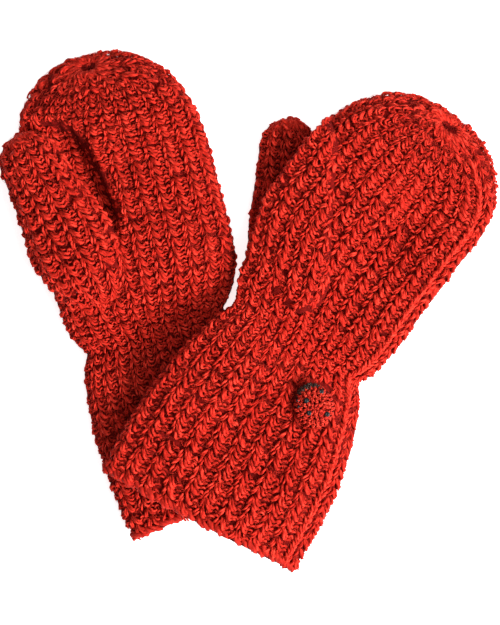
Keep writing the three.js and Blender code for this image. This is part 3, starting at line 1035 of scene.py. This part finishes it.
@dataclass
class MittenPieces:
    """Everything that one mitten is dressed with."""

    shape: MittenShape
    palette: Palette
    seed: int
    ribs: int = 24
    thumb_ribs: int = 9
    seam_from_edge: float = 0.57
    seam_width: float = 5.6
    wrist_zone: float = 17.0
    blend_zone: float = 11.0
    lining_depth: float = 2.9
    lining_thickness: float = 0.7
    crown_left_open: float = 0.02
    side_fill: float = 3.3
    body_shell: tuple[int, int] = (192, 150)
    thumb_shell: tuple[int, int] = (96, 60)
    thumb_lining_depth: float = 3.2
    hem_loops_per_rib: float = 3.3
    hem_radius: float = 1.5
    seam_step: float = 3.0
    seam_radius: float = 0.85
    gather_strands: int = 30
    cuff_hairs: int = 5000
    hand_hairs: int = 6600
    thumb_hairs: int = 1700

    def __post_init__(self) -> None:
        """Lay out the mitten's fabrics."""
        self.rng = np.random.default_rng(self.seed)
        shape = self.shape
        self.seam_angle = -self.seam_from_edge if shape.palm_up else self.seam_from_edge
        self.body_reach = (-shape.cuff_length - 3.0, shape.pole - self.crown_left_open)
        self.button = button_place(shape.side)
        self.fabric = Fabric(shape.skin, self.body_reach, self.seam_angle)
        self.thumb_reach = (-shape.thumb_back + 0.02, shape.thumb_tip - 0.02)
        self.thumb_fabric = Fabric(shape.thumb_skin, self.thumb_reach, -math.pi / 2)

    @property
    def name(self) -> str:
        """The mitten's side as the frame names it."""
        return self.shape.name

    def body(self, part: str) -> str:
        """Name of the frame's body for a part of this mitten."""
        return f"{self.name}_{part}_group"

    def across_wrist(self, made: bpy.types.Object) -> None:
        """Bake the place of a piece that lies across the wrist into its mesh.

        Args:
            made: The piece.
        """
        at, _, along = self.shape.spine(np.array(0.0))
        self.body("cuff")
        self.body("hand")
        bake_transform(made)

    def across_thumb(self, made: bpy.types.Object) -> None:
        """Bake the place of a piece that lies across the thumb's root into its mesh.

        Args:
            made: The piece.
        """
        hinge = np.append(self.shape.hinge, 0)
        self.body("hand")
        self.body("thumb")
        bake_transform(made)

    def dress(self, mesh: bpy.types.Mesh, finish: bpy.types.Material, zone: Zone, *nodes: str) -> None:
        """Add a piece for a zone of the mitten.

        Args:
            mesh: The piece's mesh.
            finish: Its material.
            zone: The zone, which decides whether it rides on a part or has its place baked into its mesh.
            *nodes: The frame's nodes that it stands for, after the mitten's side.
        """
        made = piece(mesh, finish)
        if zone is Zone.WRIST:
            self.across_wrist(made)
        elif zone is Zone.THUMB_ROOT:
            self.across_thumb(made)
        else:
            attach(made, self.body(zone.value))
        if nodes:
            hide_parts(*(f"{self.name}_{node}" for node in nodes))

    def build(self) -> None:
        """Make every piece of the mitten."""
        self.lay_body()
        self.lay_thumb()
        self.line_body()
        self.line_thumb()
        self.hem()
        self.sew_seam()
        self.gather(self.fabric, "crown_gather", Zone.HAND)
        self.gather(self.thumb_fabric, "thumb_gather", Zone.THUMB)
        self.fuzz()

    def lay_body(self) -> None:
        """Crochet the cuff, the wrist and the hand."""
        wrist = self.fabric.s_at(0.0)
        crochet = Crochet(self.fabric, self.ribs, self.rng, seam_width=self.seam_width, tight_at=wrist,
                          button=self.button)
        hem = self.fabric.s_at(-self.shape.cuff_length) + 0.5
        rows = crochet.stitch_rows(hem, self.fabric.length - 2.0)
        zones = {Zone.CUFF: [], Zone.WRIST: [], Zone.HAND: []}
        for s, length in rows:
            middle = s + length / 2 - wrist
            zone = Zone.WRIST if abs(middle) <= self.wrist_zone else Zone.CUFF if middle < 0 else Zone.HAND
            zones[zone].append((s, length))
        for zone, chosen in zones.items():
            for family, yarn in crochet.lay(chosen).items():
                self.dress(yarn.mesh(f"{self.name}_{zone.value}_{family.value}"), self.palette.wool, zone)

    def lay_thumb(self) -> None:
        """Crochet the thumb."""
        crochet = Crochet(self.thumb_fabric, self.thumb_ribs, self.rng, rib_width=11.0)
        rows = crochet.stitch_rows(0.5, self.thumb_fabric.length - 1.5)
        for family, yarn in crochet.lay(rows).items():
            self.dress(yarn.mesh(f"{self.name}_thumb_{family.value}"), self.palette.wool, Zone.THUMB_ROOT)

    def shell(self, name: str, surface: Callable[[Array, Array, float], Array], reach: tuple[float, float],
              angle: float, depths: tuple[float, float], size: tuple[int, int], open_start: bool,
              ) -> bpy.types.Mesh:
        """Make a closed thin shell under the stitches.

        Args:
            name: Name of the mesh.
            surface: The skin, by angle, distance along and depth.
            reach: First and last distance along.
            angle: Angle at which a round starts.
            depths: Depths of the outer and the inner face.
            size: Steps round and along.
            open_start: Whether the shell is open at its start, as a cuff is.

        Returns:
            The mesh.
        """
        around, along = size
        faces = []
        for depth in depths:
            end = reach[1] - depth
            fabric = Fabric(lambda a, t, d=depth: surface(a, t, d), (reach[0], end), angle)
            u = np.arange(around) / around
            s = np.linspace(0, fabric.length, along)
            round_way = np.broadcast_to(u, (along, around))
            places, normals = fabric.sample(round_way, np.repeat(s[:, None], around, 1))
            ribbed = 0.35 * np.cos(2 * math.pi * (u * self.ribs - 0.6))[None]
            ribbed = ribbed + 0.2 * np.cos(s * 1.05)[:, None]
            sideways = self.side_fill * (1 - np.abs(normals[..., 2])) * smooth(0, 12, s)[:, None]
            faces.append(places + normals * (ribbed + sideways)[..., None])
        points = np.concatenate([f.reshape(-1, 3) for f in faces])
        outer = ring_quads(along, around)
        quads = [outer, outer[..., ::-1] + along * around]
        k = np.arange(around)
        ends = [(along - 1) * around]
        if open_start:
            quads.append(np.stack([k, k + along * around, (k + 1) % around + along * around,
                                   (k + 1) % around], -1))
        else:
            ends.append(0)
        loops = [np.concatenate([q.reshape(-1) for q in quads])]
        totals = [np.full(sum(len(q) for q in quads), 4)]
        for end in ends:
            order = k if end else k[::-1]
            loops += [end + order, end + along * around + order[::-1]]
            totals += [np.full(2, around)]
        return raw_mesh(name, points * MM, np.concatenate(loops), np.concatenate(totals))

    def line_body(self) -> None:
        """Make the fabric behind the stitches of the cuff and hand."""
        reach = (-self.shape.cuff_length, self.shape.pole - self.crown_left_open)
        depths = (self.lining_depth, self.lining_depth + self.lining_thickness)
        mesh = self.shell(f"{self.name}_fabric", self.shape.skin, reach, self.seam_angle, depths,
                          self.body_shell, True)
        # The fabric behind the stitches is drawn in the dark inside wool, as painted shade.
        self.dress(mesh, self.palette.lining, Zone.WRIST, "cuff", "hand", "thumb_join")

    def line_thumb(self) -> None:
        """Make the fabric behind the thumb's stitches."""
        depths = (self.thumb_lining_depth, self.thumb_lining_depth + self.lining_thickness)
        reach = (-self.shape.thumb_back + 4.5, self.shape.thumb_tip)
        mesh = self.shell(f"{self.name}_thumb_fabric", self.shape.thumb_skin, reach, -math.pi / 2, depths,
                          self.thumb_shell, False)
        # The fabric behind the thumb's stitches is drawn in the dark inside wool, as painted shade.
        self.dress(mesh, self.palette.lining, Zone.THUMB_ROOT, "thumb")

    def hem(self) -> None:
        """Wrap the hem's edge in small loops from the outer face to the inner one."""
        edge = self.fabric.s_at(-self.shape.cuff_length)
        loops = int(self.ribs * self.hem_loops_per_rib)
        way = np.array([(1.7, 4.8, -1.4), (0.9, 2.9, -0.4), (0.2, 1.3, -0.7), (-0.2, 0.6, -2.0),
                        (0.0, 1.1, -3.4), (0.4, 2.9, -4.1), (0.7, 5.0, -3.9)])
        u0 = (np.arange(loops) + self.rng.normal(0, 0.15, loops)) / loops
        jitter = self.rng.normal(0, 1, (loops, 1, 3)) * np.array([0.2, 0.55, 0.25])
        local = way[None] + jitter
        local[..., 1] += 0.5 * np.cos(2 * math.pi * u0 * self.ribs)[:, None]
        u = u0[:, None] + local[..., 0] / loops
        places, normals = self.fabric.sample(u, edge + local[..., 1])
        centres = places + normals * local[..., 2][..., None]
        thick = self.hem_radius * (1 + 0.1 * self.rng.normal(0, 1, (loops, 1)))
        radii = np.repeat(thick, len(way), 1)
        radii[:, [0, -1]] = 0.55
        yarn = Yarn()
        # Every hem loop is marked with the same share of painted shade.
        yarn.add(centres, radii, normals + np.array([0.01, 0.02, 0.03]), 0.6 * self.rng.random(loops), 0.6)
        self.dress(yarn.mesh(f"{self.name}_hem_edge"), self.palette.wool, Zone.CUFF)

    def sew_seam(self) -> None:
        """Sew the side seam: a flat chain of slanting stitches along the little-finger side."""
        edge = self.fabric.s_at(-self.shape.cuff_length)
        wrist = self.fabric.s_at(0.0)
        end = self.fabric.length - 16.0
        below, above = wrist - self.wrist_zone, wrist + self.wrist_zone
        spans = {Zone.CUFF: (edge + 0.5, below), Zone.WRIST: (below, above), Zone.HAND: (above, end)}
        for zone, (first, last) in spans.items():
            count = int((last - first) / self.seam_step)
            starts = first + (np.arange(count) + 0.5) * (last - first) / count
            yarn = Yarn()
            for lean, aside in ((-1.0, -0.9), (0.35, 0.2), (1.0, 1.1)):
                way = np.array([(-2.3, -2.9, -2.4), (-1.4, -1.4, -0.8), (-0.4, 0.3, -0.4), (0.6, 1.9, -0.9),
                                (1.5, 3.2, -2.4)]) * np.array([lean, 1.0, 1.0]) + np.array([aside, 0, 0])
                local = way[None] + self.rng.normal(0, 1, (count, 1, 3)) * np.array([0.45, 0.6, 0.25])
                s = starts[:, None] + local[..., 1]
                u = local[..., 0] / self.fabric.girth_at(s)
                places, normals = self.fabric.sample(u, s)
                centres = places + normals * local[..., 2][..., None]
                # The ends of each seam stitch, where they dive into the fabric, are marked with painted
                # shade.
                yarn.add(centres, np.array([0.55, *[self.seam_radius] * 3, 0.55]), normals,
                         0.45 + 0.55 * self.rng.random(count), np.array([0.6, 0.1, 0.0, 0.1, 0.6]))
            nodes = () if zone is Zone.WRIST else (f"{zone.value}_seam",)
            self.dress(yarn.mesh(f"{self.name}_{zone.value}_seam_yarn"), self.palette.wool, zone, *nodes)

    def gather(self, fabric: Fabric, label: str, zone: Zone) -> None:
        """Draw the last stitches together with yarn round the gathered end.

        Args:
            fabric: The fabric that ends there.
            label: The frame's node that the yarn stands for, after the mitten's side.
            zone: The zone that it rides on.
        """
        count = self.gather_strands
        reach = np.array([14.0, 10.0, 6.5, 3.5, 0.8])
        lift = np.array([-2.5, -1.1, -0.6, -0.7, -1.3])
        u = ((np.arange(count) + 0.5) / count)[:, None] + 0.012 * self.rng.normal(0, 1, (count, 5))
        u += 0.03 * np.arange(5)
        s = fabric.length - reach[None] * (0.7 + 0.5 * self.rng.random((count, 1)))
        places, normals = fabric.sample(u, s)
        centres = places + normals * lift[None, :, None]
        yarn = Yarn()
        # The gathering yarn and its ring are marked with a little painted shade.
        yarn.add(centres, np.array([0.5, 0.9, 1.0, 0.9, 0.6]), normals, self.rng.random(count), 0.15)
        middle = fabric.sample(np.linspace(0, 1, 8, endpoint=False), np.full(8, fabric.length))[0].mean(0)
        turn = np.linspace(0, 2 * math.pi, 9)[None]
        for rise, radius in ((-2.6, 1.5), (-1.9, 0.8)):
            ring = np.stack([radius * np.cos(turn), radius * np.sin(turn), 0 * turn + rise], -1) + middle
            yarn.add(ring, 0.75, (0.0, 0.0, 1.0), np.array([0.6]), 0.2)
        self.dress(yarn.mesh(f"{self.name}_{label}_yarn"), self.palette.wool, zone, label)

    def fuzz(self) -> None:
        """Scatter stray wool hairs over the mitten."""
        wrist = self.fabric.s_at(0.0)
        edge = self.fabric.s_at(-self.shape.cuff_length)
        self._hairs(self.fabric, edge + 4.0, wrist - 10.0, self.cuff_hairs, Zone.CUFF)
        self._hairs(self.fabric, wrist + 10.0, self.fabric.length - 4, self.hand_hairs, Zone.HAND)
        self._hairs(self.thumb_fabric, 26.0, self.thumb_fabric.length - 2, self.thumb_hairs, Zone.THUMB)

    def _hairs(self, fabric: Fabric, first: float, last: float, count: int, zone: Zone) -> None:
        """Scatter hairs over a stretch of a fabric and let them ride on a zone.

        Args:
            fabric: The fabric.
            first: Where the stretch starts.
            last: Where it ends.
            count: How many hairs.
            zone: The zone that they ride on.
        """
        u = self.rng.random((count, 1)) + np.zeros((1, 5))
        s = first + (last - first) * self.rng.random((count, 1)) + np.zeros((1, 5))
        heading = self.rng.random((count, 1)) * 2 * math.pi
        bend = self.rng.normal(0, 0.5, (count, 1))
        step = np.linspace(0, 1, 5)[None] * (2.2 + 4.2 * self.rng.random((count, 1)))
        way = heading + bend * np.linspace(-1, 1, 5)[None]
        u = u + np.cumsum(np.cos(way), 1) * step / 5 / np.maximum(fabric.girth_at(s), 20.0)
        s = np.clip(s + np.cumsum(np.sin(way), 1) * step / 5, 0, fabric.length)
        places, normals = fabric.sample(u, s)
        rise = np.array([-1.8, -0.7, 0.1, 0.7, 1.0])[None] * (0.4 + 1.1 * self.rng.random((count, 1)))
        centres = places + normals * (rise - 0.5)[..., None]
        yarn = Yarn()
        yarn.add(centres, np.array([0.12, 0.12, 0.11, 0.09, 0.05]), normals,
                 0.5 + 0.5 * self.rng.random(count), 0.0)
        self.dress(yarn.mesh(f"{self.name}_{zone.value}_hairs", 3), self.palette.wool, zone)


@dataclass
class LadybirdButton:
    """A small dome of fine crochet with a dark head and black beads, sewn to a cuff."""

    side: Side
    palette: Palette
    seed: int
    across: float = 11.6
    along: float = 12.4
    rise: float = 5.0
    set_back: float = 1.0
    head_at: float = 4.2
    head_radius: float = 9.0
    head_rise: float = 3.4
    turn: float = 18.0
    base: float = 2.0
    proud: float = 5.4
    thread: float = 0.76
    loop_spacing: float = 2.9
    head_thread: float = 0.5
    head_shows_from: float = 0.58
    rim_thread: float = 0.28
    bead_size: float = 1.2
    felt_rings: tuple[tuple[float, float], ...] = ((1.7, 10.8), (1.4, 11.3), (1.0, 11.3), (0.6, 10.7))

    def __post_init__(self) -> None:
        """Find the button's frame: its place, and the directions across, along and outward."""
        self.rng = np.random.default_rng(self.seed)
        self.upside_down = self.side is Side.LEFT
        if self.upside_down:
            self.turn = -20.0
        self.centre = button_place(self.side)
        a = math.radians(self.turn)
        flip = -1.0 if self.upside_down else 1.0
        if not self.upside_down:
            self.centre = self.centre + np.array([0, 0, self.proud])
        self.axes = np.array([[math.cos(a), math.sin(a), 0], [-flip * math.sin(a), flip * math.cos(a), 0],
                              [0, 0, flip]])

    @property
    def name(self) -> str:
        """The mitten's side as the frame names it."""
        return self.side.value

    def place(self, local: Array) -> Array:
        """Turn the button's own places into the frame's, in millimetres."""
        return self.centre + local @ self.axes

    def dome(self, radius: Array, angle: Array, lift: float = 0.0) -> Array:
        """Places on the red dome, as for a cap."""
        return self._cap((self.across, self.along, self.rise), -self.set_back, radius, angle, lift)

    def hood(self, radius: Array, angle: Array, lift: float = 0.0) -> Array:
        """Places on the dark head, as for a cap."""
        size = (self.head_radius, self.head_radius, self.head_rise)
        return self._cap(size, self.head_at, radius, angle, lift)

    def _cap(self, size: tuple[float, float, float], middle: float, radius: Array, angle: Array,
             lift: float) -> Array:
        """Places on a low dome.

        Args:
            size: Its half width, half length and rise.
            middle: Where its middle is along the button.
            radius: Shares of its radius.
            angle: Angles round it.
            lift: How far the places are lifted along its axis.

        Returns:
            The places in the button's own frame.
        """
        across, along, rise = size
        x = across * radius * np.cos(angle)
        y = along * radius * np.sin(angle) + middle
        z = self.base + rise * np.sqrt(np.maximum(0, 1 - radius**2)) + lift
        return np.stack([x, y, z], -1)

    def build(self) -> None:
        """Make the button's pieces."""
        self.cover()
        self.head()
        self.rim()
        self.backing()
        self.beads()
        self.shank()

    def finish(self, mesh: bpy.types.Mesh, material: bpy.types.Material, slot: str, *nodes: str,
               body: str = "button") -> None:
        """Add a piece that rides on the button and stands for some nodes.

        Args:
            mesh: The piece's mesh.
            material: Its material.
            slot: Not used.
            *nodes: The frame's nodes that it stands for.
            body: The part that it rides on.
        """
        made = piece(mesh, material)
        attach(made, f"{self.name}_{body}_group")
        if nodes:
            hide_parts(*(f"{self.name}_{node}" for node in nodes))

    def loops(self, rounds: int, first: float, last: float, surface: Callable[..., Array], size: float,
              keep: Callable[[Array], Array] | None = None) -> Yarn:
        """Lay small arched stitches in rounds over a dome.

        Args:
            rounds: How many rounds.
            first: Share of the radius of the inmost round.
            last: Share of the radius of the outermost round.
            surface: Gives places for a share of the radius and an angle.
            size: Radius of the thread.
            keep: Chooses which stitches are laid, from their places; all of them if not given.

        Returns:
            The stitches.
        """
        yarn = Yarn()
        gap = (last - first) / rounds
        for k in range(rounds):
            radius = first + gap * (k + 0.5)
            count = max(5, int(2 * math.pi * radius * self.along / self.loop_spacing))
            angle = (np.arange(count) + 0.5 * (k % 2)) * 2 * math.pi / count
            for lean in (-1, 1):
                step = 2 * math.pi / count
                da = lean * step * np.array([0.0, 0.34, 0.46, 0.3])
                dr = gap * np.array([-0.62, -0.2, 0.28, 0.62])
                lift = size * np.array([-0.6, 0.9, 1.1, -0.4])
                wobble = self.rng.normal(0, 0.06 * step, (count, 1))
                slant = self.rng.normal(0, 0.22 * step, (count, 1)) * np.array([-1.0, 0.0, 0.4, 1.0])
                stray = self.rng.normal(0, 0.14 * gap, (count, 1))
                places = surface(np.clip(radius + dr[None] + stray, 0.02, 1.0),
                                 angle[:, None] + da[None] + wobble + slant)
                uneven = self.rng.normal(0, 0.22, (count, 1, 1))
                places = places + (lift[None, :, None] + uneven) * np.array([0, 0, 1.0])
                chosen = keep(places.mean(1)) if keep else np.ones(count, bool)
                if not chosen.any():
                    continue
                world = self.place(places[chosen])
                # Each loop is marked with a little painted shade.
                yarn.add(world, size * np.array([0.6, 1.0, 1.0, 0.6]), self.axes[2],
                         self.rng.random(len(world)), 0.1)
        return yarn

    def outside_dome(self, places: Array) -> Array:
        """Share of the dome's radius at places in the button's own frame."""
        return np.hypot(places[:, 0] / self.across, (places[:, 1] + self.set_back) / self.along)

    def cover(self) -> None:
        """Crochet the red dome over a smooth form."""
        yarn = self.loops(5, 0.03, 1.0, self.dome, self.thread)
        # The form under the loops is drawn nearly black as painted shade in the holes between them.
        form = self._bowl(f"{self.name}_button_form", self.dome, 0.985, -1.1)
        self.finish(yarn.mesh(f"{self.name}_button_stitches"), self.palette.thread, "thread",
                    "button_cover")
        self.finish(form, self.palette.shaded_padding, "thread")

    def _bowl(self, name: str, surface: Callable[..., Array], reach: float, lift: float) -> bpy.types.Mesh:
        """Make a closed low dome with a flat underside.

        Args:
            name: Name of the mesh.
            surface: Gives places for a share of the radius and an angle.
            reach: Share of the radius at which the dome ends.
            lift: How far it is lifted along its axis.

        Returns:
            The mesh.
        """
        rings, around = 10, 48
        radius = np.linspace(0.04, reach, rings)
        angle = np.arange(around) * 2 * math.pi / around
        top = surface(radius[:, None] + 0 * angle[None], angle[None] + 0 * radius[:, None], lift)
        under = top[-1:].copy()
        under[..., 2] = self.base - 0.9
        return ring_body(name, self.place(np.concatenate([top, under])))

    def head(self) -> None:
        """Crochet the dark head as a hood over one end of the dome."""
        first_shown = self.head_shows_from * self.along
        yarn = self.loops(6, 0.35, 1.0, self.hood, self.head_thread,
                          lambda p: (self.outside_dome(p) > 0.93) & (p[:, 1] > first_shown))
        self.finish(yarn.mesh(f"{self.name}_button_head_stitches"), self.palette.dark, "felt",
                    "button_head")
        form = self._bowl(f"{self.name}_button_head_form", self.hood, 0.97, -0.9)
        self.finish(form, self.palette.felt, "felt")

    def rim(self) -> None:
        """Run a thin brown thread round the dome's foot."""
        turn = np.linspace(0, 2 * math.pi, 65)[None]
        ring = self.dome(np.full_like(turn, 0.96), turn) + np.array([0, 0, -2.2])
        ring = ring + 0.12 * self.rng.normal(0, 1, (1, 65, 1)) * np.array([0, 0, 1.0])
        yarn = Yarn()
        # The rim thread is marked with a little painted shade.
        yarn.add(self.place(ring), self.rim_thread, self.axes[2], np.array([0.7]), 0.1)
        self.finish(yarn.mesh(f"{self.name}_button_rim_thread"), self.palette.dark, "felt")

    def backing(self) -> None:
        """Make the felt disc, thicker at its middle and soft at its edge."""
        around = 72
        angle = np.arange(around) * 2 * math.pi / around
        wave = 1 + 0.008 * np.sin(angle * 9) + 0.006 * np.sin(angle * 23)
        points = [np.stack([r * wave * np.cos(angle), r * wave * np.sin(angle), np.full(around, z)], -1)
                  for z, r in self.felt_rings]
        mesh = ring_body(f"{self.name}_button_felt", self.place(np.array(points)))
        self.finish(mesh, self.palette.felt, "felt", "button_back")

    def beads(self) -> None:
        """Make each black bead, a little flattened, with its thread hole as a dimple."""
        for number in range(1, 7):
            node = f"button_spot_{number}"
            low, high = (np.array(corner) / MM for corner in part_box(f"{self.name}_{node}"))
            radius = self.bead_size * (high - low)[:2].mean() / 2
            x, y, _ = self.axes @ ((low + high) / 2 - self.centre)
            share = min(0.97, math.hypot(x / self.across, (y + self.set_back) / self.along))
            rise = self.base + self.rise * math.sqrt(1 - share**2) + 0.7
            centre = self.place(np.array([x, y, rise]))
            rings, around = 14, 24
            polar = np.linspace(0.06, math.pi - 0.06, rings)
            angle = np.arange(around) * 2 * math.pi / around
            dimple = 1 - 0.35 * np.exp(-((polar / 0.35) ** 2))
            r = radius * np.sin(polar)
            z = radius * 0.82 * np.cos(polar) * dimple
            local = np.stack([r[:, None] * np.cos(angle), r[:, None] * np.sin(angle),
                              z[:, None] + 0 * angle], -1)
            mesh = ring_body(f"{self.name}_button_bead_{number}", centre + local @ self.axes)
            self.finish(mesh, self.palette.bead, "bead", node)

    def shank(self) -> None:
        """Twist the threads that hold the button through the fabric."""
        low, high = (np.array(corner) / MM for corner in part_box(f"{self.name}_button_shank"))
        count, rings = 5, 9
        rise = np.linspace(0, 1, rings)[None]
        turn = 2 * math.pi * (np.arange(count)[:, None] / count + 0.6 * rise)
        middle = (low + high) / 2
        centres = np.stack([middle[0] + 0.9 * np.cos(turn), middle[1] + 0.9 * np.sin(turn),
                            low[2] + (high[2] - low[2]) * rise + 0 * turn], -1)
        yarn = Yarn()
        yarn.add(centres, 0.5, (1.0, 0.2, 0.0), self.rng.random(count), 0.0)
        self.finish(yarn.mesh(f"{self.name}_button_shank_threads"), self.palette.thread, "thread",
                    "button_shank", body="cuff")


# ---- Floor, light and camera ----


@dataclass(frozen=True)
class Lamp:
    """A square soft light that points at the mittens."""

    name: str
    place: tuple[float, float, float]
    watts: float
    size: float

    def build(self) -> None:
        """Make the light."""
        data = bpy.data.lights.new(self.name, "AREA")
        data.energy = self.watts
        data.size = self.size
        light = bpy.data.objects.new(self.name, data)
        light.location = self.place
        direction = -np.array(self.place)
        yaw = math.atan2(direction[1], direction[0])
        pitch = math.atan2(math.hypot(direction[0], direction[1]), -direction[2])
        light.rotation_euler = (pitch, 0, yaw - math.pi / 2)
        bpy.context.scene.collection.objects.link(light)


@dataclass(frozen=True)
class Studio:
    """A plain pale floor, soft light from the right, and a camera straight above."""

    lamps: tuple[Lamp, ...] = (Lamp("key", (1.60, -1.05, 1.45), 97.0, 0.75),
                               Lamp("sky", (1.00, -0.15, 1.30), 15.0, 1.4),
                               Lamp("fill", (0.10, 0.30, 0.95), 1.6, 0.6))
    world_light: float = 0.24
    floor_half: float = 30.0
    floor_glow: float = 0.76
    frame_height: float = 0.375
    lens: float = 85.0
    sensor: float = 36.0
    look_height: float = 0.018

    def build(self) -> None:
        """Make the floor, the lights, the world and the camera."""
        self.floor()
        self.world()
        for lamp in self.lamps:
            lamp.build()
        self.camera()

    def floor(self) -> None:
        """Make the floor."""
        half = self.floor_half
        mesh = bpy.data.meshes.new("floor")
        mesh.from_pydata([(-half, -half, 0), (half, -half, 0), (half, half, 0), (-half, half, 0)], [],
                         [(0, 1, 2, 3)])
        floor = bpy.data.objects.new("floor", mesh)
        bpy.context.scene.collection.objects.link(floor)
        nodes = Nodes("pale_floor")
        nodes.shader.inputs["Base Color"].default_value = (0.9, 0.9, 0.9, 1)
        nodes.shader.inputs["Roughness"].default_value = 0.9
        nodes.shader.inputs["Emission Color"].default_value = (1, 1, 1, 1)
        nodes.shader.inputs["Emission Strength"].default_value = self.floor_glow
        mesh.materials.append(nodes.material)

    def world(self) -> None:
        """Light everything evenly and softly."""
        world = bpy.data.worlds.new("studio")
        world.use_nodes = True
        world.node_tree.nodes["Background"].inputs["Color"].default_value = (1, 1, 1, 1)
        world.node_tree.nodes["Background"].inputs["Strength"].default_value = self.world_light
        bpy.context.scene.world = world
        bpy.context.scene.view_settings.view_transform = "Standard"

    def camera(self) -> None:
        """Look straight down, with the finger ends up in the picture."""
        data = bpy.data.cameras.new("camera")
        data.lens = self.lens
        data.sensor_width = self.sensor
        camera = bpy.data.objects.new("camera", data)
        distance = self.frame_height * self.lens / self.sensor
        camera.location = (0, 0, distance + self.look_height)
        bpy.context.scene.collection.objects.link(camera)
        bpy.context.scene.camera = camera


LEFT = MittenShape(
    side=Side.LEFT, palm_up=True, hand_turn=-14.0, cuff_turn=-23.0, wrist_half=45.5, cuff_half=59.0,
    palm_length=45.0, wrist_shift=2.5, shift_length=35.0, hand_half=56.5, cuff_length=111.5, pole=165.0,
    hand_shift=5.7, crown_shift=-3.0, thumb_turn=-27.0, thumb_tip=96.0, thumb_half=(26.0, 19.0),
    thumb_floor=13.0, thumb_clear=14.0, thumb_swell=1.9)
RIGHT = MittenShape(
    side=Side.RIGHT, palm_up=False, hand_turn=37.0, cuff_turn=28.5, wrist_half=46.5, cuff_half=66.0,
    hand_half=59.5, cuff_length=121.0, pole=160.5, hand_shift=-9.0, crown_shift=5.0, thumb_turn=3.5,
    thumb_tip=91.0, thumb_half=(21.0, 17.5), thumb_floor=0.0, dip=10.0)


def main() -> None:
    """Build the studio, both mittens and both buttons."""
    logging.basicConfig(level=logging.INFO, format="%(name)s: %(message)s")
    Studio().build()
    palette = Palette()
    for shape, seed, ribs, thumb_ribs in ((LEFT, 11, 23, 10), (RIGHT, 23, 22, 9)):
        MittenPieces(shape, palette, seed, ribs, thumb_ribs).build()
        LadybirdButton(shape.side, palette, seed + 100).build()


if __name__ == "__main__":
    main()
